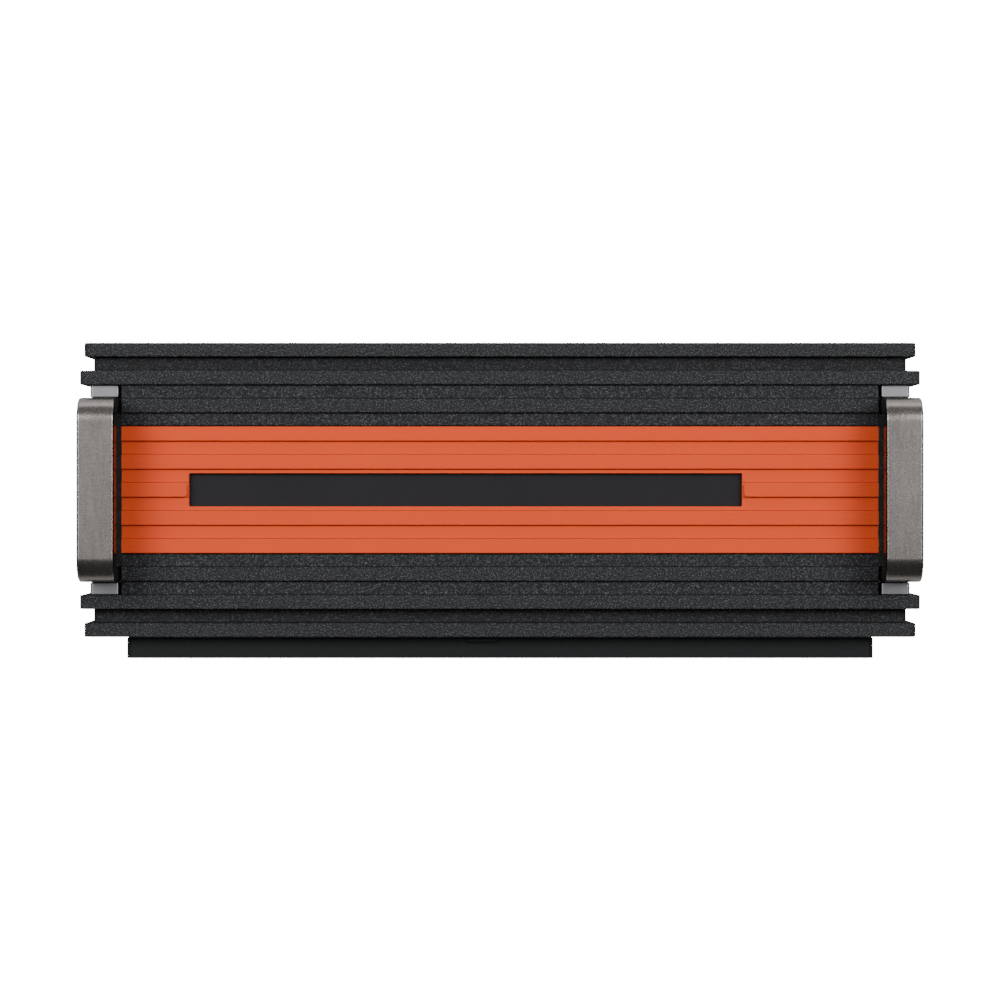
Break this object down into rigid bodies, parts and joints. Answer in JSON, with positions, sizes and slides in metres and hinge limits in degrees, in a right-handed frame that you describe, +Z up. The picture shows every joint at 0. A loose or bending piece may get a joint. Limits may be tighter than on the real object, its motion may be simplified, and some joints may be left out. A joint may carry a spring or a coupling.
{
  "type": "portable power station",
  "caption": "Ribbed rectangular battery power station with an orange ribbed top band, swing-up bail handles, a socket fascia in front and covered inlets behind.",
  "frame": {"origin": "on the floor, under the middle of the whole object's box at rest, handles raised", "axes": "+Z up; +X along the long side, to the right as seen from the front; front (display and sockets) towards -Y"},
  "size_m": [0.5246, 0.1992, 0.335],
  "materials": {
    "black_shell": "black moulding with a coarse speckled powder texture",
    "orange_plastic": "satin orange moulding",
    "dark_plastic": "smooth charcoal, satin",
    "grey_rubber": "soft grey seal",
    "foot_rubber": "black rubber",
    "gunmetal": "bead-blasted gunmetal with a fine sparkle",
    "silver_metal": "satin silver",
    "screw_steel": "satin steel",
    "washer_plastic": "natural acetal",
    "display_glass": "smoked display window",
    "display_panel": "liquid-crystal module",
    "socket_plastic": "fine matt socket plastic",
    "port_metal": "nickel shell",
    "cover_rubber": "soft black cover",
    "button_plastic": "satin grey button",
    "button_red": "red reset button",
    "lens_plastic": "frosted diffuser",
    "circuit_board": "green solder mask",
    "fan_plastic": "black fan moulding",
    "guard_wire": "flat steel guard",
    "inlet_amber": "amber high-current housing",
    "cell_can": "blue film over aluminium cans",
    "copper": "enamelled copper",
    "frame_metal": "mill-finish aluminium"
  },
  "bodies": {
    "root": {"upper_shell": "black_shell", "lower_shell": "black_shell", "shell_gasket": "grey_rubber", "top_band": "orange_plastic", "nameplate_strip": "dark_plastic", "front_fascia": "dark_plastic", "fascia_gasket": "grey_rubber", "rear_panel": "dark_plastic", "fascia_screws": "screw_steel", "rear_screws": "screw_steel", "shell_screws": "screw_steel", "rubber_feet": "foot_rubber", "foot_screws": "screw_steel", "hinge_ears_left": "silver_metal", "hinge_ears_right": "silver_metal", "hinge_pins": "screw_steel", "friction_washers": "washer_plastic", "display_lens": "display_glass", "display_module": "display_panel", "ac_socket_1": "socket_plastic", "ac_socket_2": "socket_plastic", "ac_socket_3": "socket_plastic", "ac_socket_4": "socket_plastic", "usb_a_ports": "port_metal", "usb_c_ports": "port_metal", "car_socket": "socket_plastic", "cover_pins": "screw_steel", "dc_jacks": "socket_plastic", "button_rings": "orange_plastic", "light_lens": "lens_plastic", "light_board": "circuit_board", "control_board": "circuit_board", "fan_frame_left": "fan_plastic", "fan_frame_right": "fan_plastic", "fan_guard_left": "guard_wire", "fan_guard_right": "guard_wire", "ac_inlet": "socket_plastic", "solar_inlets": "inlet_amber", "expansion_socket": "socket_plastic", "breaker": "socket_plastic", "battery_cells": "cell_can", "busbars": "copper", "pack_frame": "frame_metal", "bms_board": "circuit_board", "inverter_board": "circuit_board", "heat_sinks": "frame_metal", "power_coils": "copper"},
    "handle_left": {"handle_left": "gunmetal"},
    "handle_right": {"handle_right": "gunmetal"},
    "power_button": {"power_button": "button_plastic"},
    "ac_button": {"ac_button": "button_plastic"},
    "dc_button": {"dc_button": "button_plastic"},
    "light_button": {"light_button": "button_plastic"},
    "breaker_button": {"breaker_button": "button_red"},
    "car_socket_cap": {"car_socket_cap": "cover_rubber"},
    "ac_inlet_cover": {"ac_inlet_cover": "cover_rubber"},
    "solar_cover": {"solar_cover": "cover_rubber"},
    "expansion_cover": {"expansion_cover": "cover_rubber"},
    "fan_rotor_left": {"fan_rotor_left": "fan_plastic"},
    "fan_rotor_right": {"fan_rotor_right": "fan_plastic"}
  },
  "joints": [
    {"name": "handle_left_hinge", "type": "hinge", "parent": "root", "child": "handle_left", "pos_m": [-0.2485, 0.00765, 0.283], "axis": [0, -1, 0], "range_deg": [0, 180]},
    {"name": "handle_right_hinge", "type": "hinge", "parent": "root", "child": "handle_right", "pos_m": [0.2485, 0.00765, 0.283], "axis": [0, 1, 0], "range_deg": [0, 180]},
    {"name": "power_button_press", "type": "slide", "parent": "root", "child": "power_button", "axis": [0, 1, 0], "range_m": [0, 0.0012], "stiffness_N_per_m": 800},
    {"name": "ac_button_press", "type": "slide", "parent": "root", "child": "ac_button", "axis": [0, 1, 0], "range_m": [0, 0.0012], "stiffness_N_per_m": 800},
    {"name": "dc_button_press", "type": "slide", "parent": "root", "child": "dc_button", "axis": [0, 1, 0], "range_m": [0, 0.0012], "stiffness_N_per_m": 800},
    {"name": "light_button_press", "type": "slide", "parent": "root", "child": "light_button", "axis": [0, 1, 0], "range_m": [0, 0.0012], "stiffness_N_per_m": 800},
    {"name": "breaker_button_press", "type": "slide", "parent": "root", "child": "breaker_button", "axis": [0, -1, 0], "range_m": [0, 0.002], "stiffness_N_per_m": 900},
    {"name": "car_socket_cap_hinge", "type": "hinge", "parent": "root", "child": "car_socket_cap", "pos_m": [-0.184, -0.09555, 0.227], "axis": [-1, 0, 0], "range_deg": [0, 110]},
    {"name": "ac_inlet_cover_hinge", "type": "hinge", "parent": "root", "child": "ac_inlet_cover", "pos_m": [-0.052, 0.09165, 0.187], "axis": [1, 0, 0], "range_deg": [0, 110]},
    {"name": "solar_cover_hinge", "type": "hinge", "parent": "root", "child": "solar_cover", "pos_m": [0.054, 0.09165, 0.185], "axis": [1, 0, 0], "range_deg": [0, 110]},
    {"name": "expansion_cover_hinge", "type": "hinge", "parent": "root", "child": "expansion_cover", "pos_m": [0, 0.09165, 0.241], "axis": [1, 0, 0], "range_deg": [0, 110]},
    {"name": "fan_left_spin", "type": "hinge", "parent": "root", "child": "fan_rotor_left", "pos_m": [-0.15, 0.07365, 0.2], "axis": [0, 1, 0], "continuous": true},
    {"name": "fan_right_spin", "type": "hinge", "parent": "root", "child": "fan_rotor_right", "pos_m": [0.15, 0.07365, 0.2], "axis": [0, 1, 0], "continuous": true}
  ]
}
